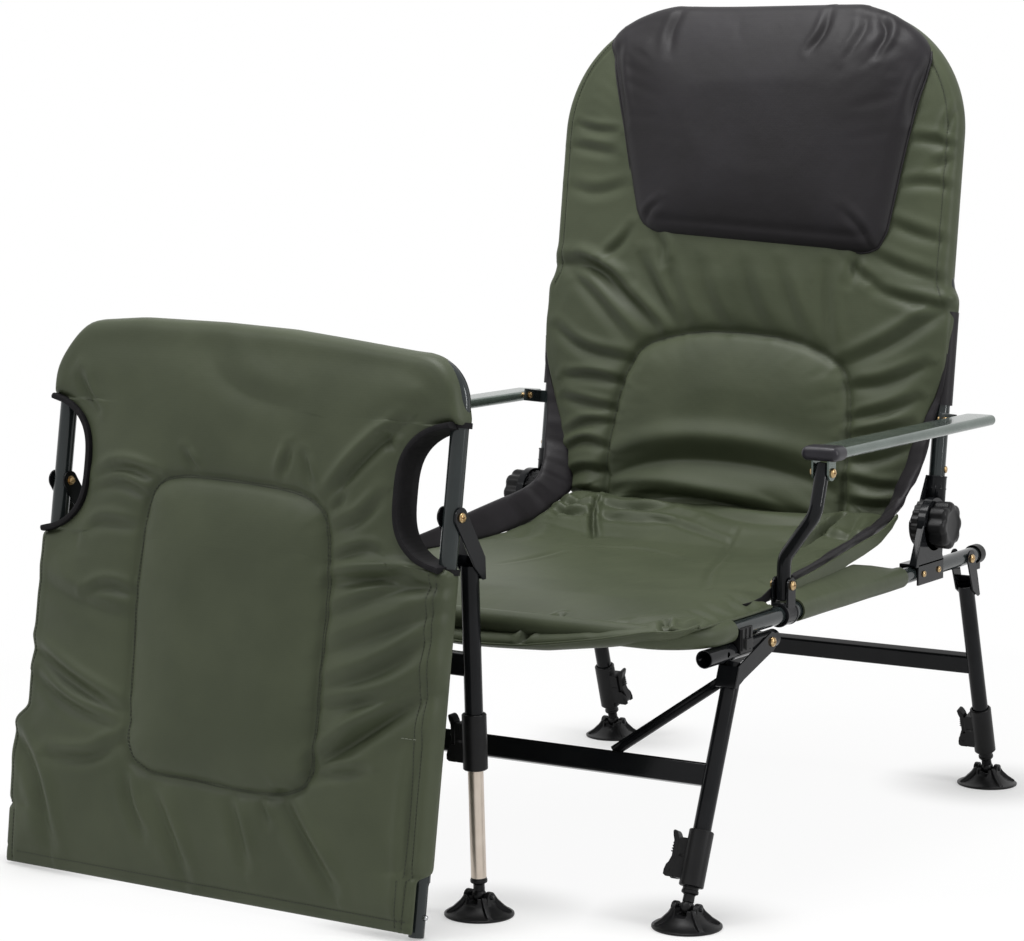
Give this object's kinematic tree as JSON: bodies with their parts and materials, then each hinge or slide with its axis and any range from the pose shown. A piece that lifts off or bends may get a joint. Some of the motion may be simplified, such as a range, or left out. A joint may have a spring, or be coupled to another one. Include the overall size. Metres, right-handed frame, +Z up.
{
  "type": "carp fishing chair",
  "caption": "Folding reclining bank chair with padded cover and head pillow, armrests on a linkage, telescopic legs with swivel mud feet, and a detached footrest.",
  "frame": {"origin": "middle of the bounding box of chair and footrest, on the floor", "axes": "+Z up, the chair faces -Y, +X to the right hand of somebody who looks at the chair from the front"},
  "size_m": [0.8828, 1.0586, 0.9969],
  "materials": {
    "frame_paint": "glossy grey-green powder coat",
    "leg_paint": "glossy black powder coat",
    "armrest_metal": "satin metallic grey-green",
    "champagne_alloy": "satin anodised, champagne",
    "yellow_zinc": "yellow zinc plated",
    "black_plastic": "matte moulded nylon",
    "olive_cloth": "padded polyester, dark olive green",
    "charcoal_cloth": "padded polyester, charcoal"
  },
  "bodies": {
    "chair": {"seat_frame": "frame_paint", "seat_cover": "olive_cloth", "seat_hinge_bracket_right": "leg_paint", "seat_hinge_bracket_left": "leg_paint", "seat_hinge_disc_right": "black_plastic", "seat_hinge_disc_left": "black_plastic", "seat_tube_cap_right": "black_plastic", "seat_tube_cap_left": "black_plastic", "arm_clamp_right": "leg_paint", "arm_clamp_left": "leg_paint", "footrest_socket_right": "leg_paint", "footrest_socket_left": "leg_paint", "socket_clip_right": "black_plastic", "socket_clip_left": "black_plastic"},
    "backrest": {"back_frame": "frame_paint", "back_cover": "olive_cloth", "head_pillow": "charcoal_cloth", "back_hinge_arm_right": "leg_paint", "back_hinge_arm_left": "leg_paint", "back_hinge_disc_right": "black_plastic", "back_hinge_disc_left": "black_plastic"},
    "knob_right": {"recline_knob_right": "black_plastic"},
    "support_arm_right": {"support_arm_right": "leg_paint"},
    "armrest_right": {"armrest_right": "armrest_metal", "armrest_cap_right": "black_plastic"},
    "knob_left": {"recline_knob_left": "black_plastic"},
    "support_arm_left": {"support_arm_left": "leg_paint"},
    "armrest_left": {"armrest_left": "armrest_metal", "armrest_cap_left": "black_plastic"},
    "front_legs": {"front_leg_frame": "leg_paint", "front_leg_lock_right": "black_plastic", "front_leg_lock_left": "black_plastic"},
    "front_inner_leg_right": {"front_inner_leg_right": "champagne_alloy"},
    "front_foot_right": {"front_foot_right": "black_plastic"},
    "front_lever_right": {"front_lock_lever_right": "black_plastic"},
    "front_inner_leg_left": {"front_inner_leg_left": "champagne_alloy"},
    "front_foot_left": {"front_foot_left": "black_plastic"},
    "front_lever_left": {"front_lock_lever_left": "black_plastic"},
    "rear_legs": {"rear_leg_frame": "leg_paint", "rear_leg_lock_right": "black_plastic", "rear_leg_lock_left": "black_plastic"},
    "rear_inner_leg_right": {"rear_inner_leg_right": "champagne_alloy"},
    "rear_foot_right": {"rear_foot_right": "black_plastic"},
    "rear_lever_right": {"rear_lock_lever_right": "black_plastic"},
    "rear_inner_leg_left": {"rear_inner_leg_left": "champagne_alloy"},
    "rear_foot_left": {"rear_foot_left": "black_plastic"},
    "rear_lever_left": {"rear_lock_lever_left": "black_plastic"},
    "footrest": {"footrest_frame": "frame_paint", "footrest_cover": "olive_cloth"},
    "footrest_legs": {"footrest_leg_frame": "leg_paint", "footrest_leg_lock_right": "black_plastic", "footrest_leg_lock_left": "black_plastic"},
    "footrest_inner_leg_right": {"footrest_inner_leg_right": "champagne_alloy"},
    "footrest_foot_right": {"footrest_foot_right": "black_plastic"},
    "footrest_lever_right": {"footrest_lock_lever_right": "black_plastic"},
    "footrest_inner_leg_left": {"footrest_inner_leg_left": "champagne_alloy"},
    "footrest_foot_left": {"footrest_foot_left": "black_plastic"},
    "footrest_lever_left": {"footrest_lock_lever_left": "black_plastic"},
    "button_right": {"spring_button_right": "yellow_zinc"},
    "button_left": {"spring_button_left": "yellow_zinc"}
  },
  "joints": [
    {"name": "recline", "type": "hinge", "parent": "chair", "child": "backrest", "pos_m": [0.09227, 0.28538, 0.366], "axis": [1, 0, 0], "range_deg": [-60, 85]},
    {"name": "knob_right_turn", "type": "hinge", "parent": "chair", "child": "knob_right", "pos_m": [0.09227, 0.28538, 0.366], "axis": [1, 0, 0], "continuous": true},
    {"name": "support_arm_right_swing", "type": "hinge", "parent": "chair", "child": "support_arm_right", "pos_m": [0.37327, -0.09812, 0.342], "axis": [1, 0, 0], "range_deg": [-60, 85]},
    {"name": "armrest_right_level", "type": "hinge", "parent": "backrest", "child": "armrest_right", "pos_m": [0.41827, 0.29138, 0.495], "axis": [1, 0, 0], "range_deg": [-85, 60]},
    {"name": "knob_left_turn", "type": "hinge", "parent": "chair", "child": "knob_left", "pos_m": [0.09227, 0.28538, 0.366], "axis": [1, 0, 0], "continuous": true},
    {"name": "support_arm_left_swing", "type": "hinge", "parent": "chair", "child": "support_arm_left", "pos_m": [-0.18873, -0.09812, 0.342], "axis": [1, 0, 0], "range_deg": [-60, 85]},
    {"name": "armrest_left_level", "type": "hinge", "parent": "backrest", "child": "armrest_left", "pos_m": [-0.23373, 0.29138, 0.495], "axis": [1, 0, 0], "range_deg": [-85, 60]},
    {"name": "front_legs_fold", "type": "hinge", "parent": "chair", "child": "front_legs", "pos_m": [0.09227, -0.14812, 0.286], "axis": [1, 0, 0], "range_deg": [0, 105]},
    {"name": "front_leg_right_length", "type": "slide", "parent": "front_legs", "child": "front_inner_leg_right", "axis": [0, -0.3839, -0.9234], "range_m": [0, 0.12]},
    {"name": "front_foot_right_tilt", "type": "hinge", "parent": "front_inner_leg_right", "child": "front_foot_right", "pos_m": [0.37327, -0.3169, 0.022], "axis": [1, 0, 0], "range_deg": [-15, 15]},
    {"name": "front_lever_right_open", "type": "hinge", "parent": "front_legs", "child": "front_lever_right", "pos_m": [0.34624, -0.30308, 0.05524], "axis": [0, -0.9234, 0.3839], "range_deg": [0, 100]},
    {"name": "front_leg_left_length", "type": "slide", "parent": "front_legs", "child": "front_inner_leg_left", "axis": [0, -0.3839, -0.9234], "range_m": [0, 0.12]},
    {"name": "front_foot_left_tilt", "type": "hinge", "parent": "front_inner_leg_left", "child": "front_foot_left", "pos_m": [-0.18873, -0.3169, 0.022], "axis": [1, 0, 0], "range_deg": [-15, 15]},
    {"name": "front_lever_left_open", "type": "hinge", "parent": "front_legs", "child": "front_lever_left", "pos_m": [-0.1617, -0.30308, 0.05524], "axis": [0, 0.9234, -0.3839], "range_deg": [0, 100]},
    {"name": "rear_legs_fold", "type": "hinge", "parent": "chair", "child": "rear_legs", "pos_m": [0.09227, 0.39888, 0.309], "axis": [1, 0, 0], "range_deg": [-72, 0]},
    {"name": "rear_leg_right_length", "type": "slide", "parent": "rear_legs", "child": "rear_inner_leg_right", "axis": [0, 0.3051, -0.9523], "range_m": [0, 0.12]},
    {"name": "rear_foot_right_tilt", "type": "hinge", "parent": "rear_inner_leg_right", "child": "rear_foot_right", "pos_m": [0.37327, 0.49081, 0.022], "axis": [1, 0, 0], "range_deg": [-15, 15]},
    {"name": "rear_lever_right_open", "type": "hinge", "parent": "rear_legs", "child": "rear_lever_right", "pos_m": [0.34624, 0.47892, 0.05914], "axis": [0, -0.9523, -0.3051], "range_deg": [0, 100]},
    {"name": "rear_leg_left_length", "type": "slide", "parent": "rear_legs", "child": "rear_inner_leg_left", "axis": [0, 0.3051, -0.9523], "range_m": [0, 0.12]},
    {"name": "rear_foot_left_tilt", "type": "hinge", "parent": "rear_inner_leg_left", "child": "rear_foot_left", "pos_m": [-0.18873, 0.49081, 0.022], "axis": [1, 0, 0], "range_deg": [-15, 15]},
    {"name": "rear_lever_left_open", "type": "hinge", "parent": "rear_legs", "child": "rear_lever_left", "pos_m": [-0.1617, 0.47892, 0.05914], "axis": [0, 0.9523, 0.3051], "range_deg": [0, 100]},
    {"name": "footrest_lift", "type": "slide", "parent": "chair", "child": "footrest", "axis": [0, 0, 1], "range_m": [0, 0.1]},
    {"name": "footrest_legs_fold", "type": "hinge", "parent": "footrest", "child": "footrest_legs", "pos_m": [-0.12516, -0.42785, 0.44251], "axis": [0.9988, -0.049, 0], "range_deg": [-5, 8]},
    {"name": "footrest_leg_right_length", "type": "slide", "parent": "footrest_legs", "child": "footrest_inner_leg_right", "axis": [0.0023, 0.0459, -0.9989], "range_m": [-0.12, 0.03]},
    {"name": "footrest_foot_right_tilt", "type": "hinge", "parent": "footrest_inner_leg_right", "child": "footrest_foot_right", "pos_m": [0.15786, -0.39348, 0.022], "axis": [0.9988, -0.049, 0], "range_deg": [-15, 15]},
    {"name": "footrest_lever_right_open", "type": "hinge", "parent": "footrest_legs", "child": "footrest_lever_right", "pos_m": [0.13051, -0.39928, 0.17684], "axis": [-0.0489, -0.9977, -0.046], "range_deg": [0, 100]},
    {"name": "footrest_leg_left_length", "type": "slide", "parent": "footrest_legs", "child": "footrest_inner_leg_left", "axis": [0.0023, 0.0459, -0.9989], "range_m": [-0.12, 0.03]},
    {"name": "footrest_foot_left_tilt", "type": "hinge", "parent": "footrest_inner_leg_left", "child": "footrest_foot_left", "pos_m": [-0.40346, -0.36595, 0.022], "axis": [0.9988, -0.049, 0], "range_deg": [-15, 15]},
    {"name": "footrest_lever_left_open", "type": "hinge", "parent": "footrest_legs", "child": "footrest_lever_left", "pos_m": [-0.37682, -0.3744, 0.17684], "axis": [0.0489, 0.9977, 0.046], "range_deg": [0, 100]},
    {"name": "button_right_press", "type": "slide", "parent": "footrest", "child": "button_right", "axis": [-0.9988, 0.049, 0], "range_m": [0, 0.0025], "stiffness_N_per_m": 900, "springref_m": -0.002},
    {"name": "button_left_press", "type": "slide", "parent": "footrest", "child": "button_left", "axis": [0.9988, -0.049, 0], "range_m": [0, 0.0025], "stiffness_N_per_m": 900, "springref_m": -0.002}
  ],
  "couplings": [
    {"joint": "support_arm_right_swing", "follows": "recline", "ratio": 1},
    {"joint": "armrest_right_level", "follows": "recline", "ratio": -1},
    {"joint": "support_arm_left_swing", "follows": "recline", "ratio": 1},
    {"joint": "armrest_left_level", "follows": "recline", "ratio": -1}
  ]
}
